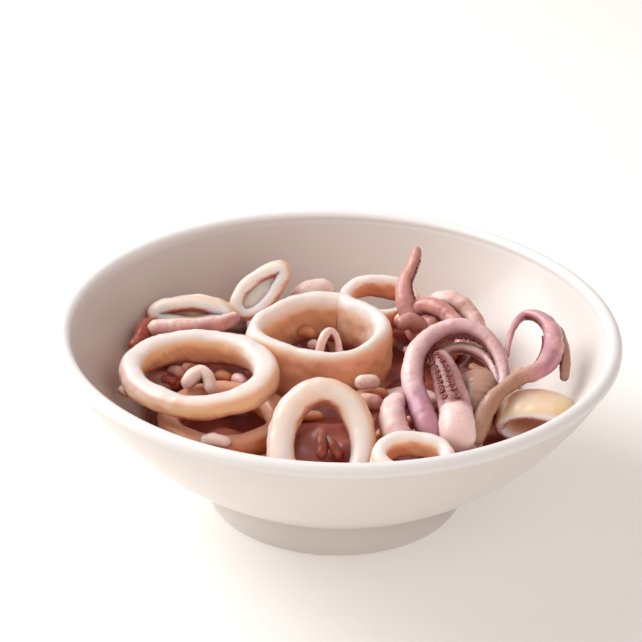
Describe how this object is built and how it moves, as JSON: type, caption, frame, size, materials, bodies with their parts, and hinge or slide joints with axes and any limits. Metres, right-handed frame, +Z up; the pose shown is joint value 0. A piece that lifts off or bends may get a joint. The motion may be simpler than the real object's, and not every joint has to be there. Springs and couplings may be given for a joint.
{
  "type": "bowl of cut raw squid",
  "caption": "Round white glazed bowl holding a heap of raw squid, cut into rings and clusters of curling arms.",
  "frame": {"origin": "middle of the bowl's foot, on the surface it stands on", "axes": "+Z up, along the bowl's axis; -Y towards the side that the heap is looked at from; +X to the right"},
  "size_m": [0.1698, 0.1698, 0.0591],
  "materials": {
    "glaze": "glossy white glaze",
    "mantle_flesh": "wet, smooth and slightly translucent",
    "arm_skin": "wet, with speckled skin",
    "bed_flesh": "wet and in shade"
  },
  "bodies": {
    "root": {"bowl": "glaze", "bed": "bed_flesh", "ring_left": "mantle_flesh", "ring_centre": "mantle_flesh", "ring_front": "mantle_flesh", "ring_under": "mantle_flesh", "ring_back_left": "mantle_flesh", "ring_fold": "mantle_flesh", "ring_back_right": "mantle_flesh", "ring_right": "mantle_flesh", "ring_low": "mantle_flesh", "crown_front": "arm_skin", "crown_back": "arm_skin", "arm_back_left": "arm_skin", "arm_back": "arm_skin", "arm_low_right": "arm_skin", "tip_left": "arm_skin", "tip_centre": "arm_skin", "bead": "arm_skin"}
  },
  "joints": []
}
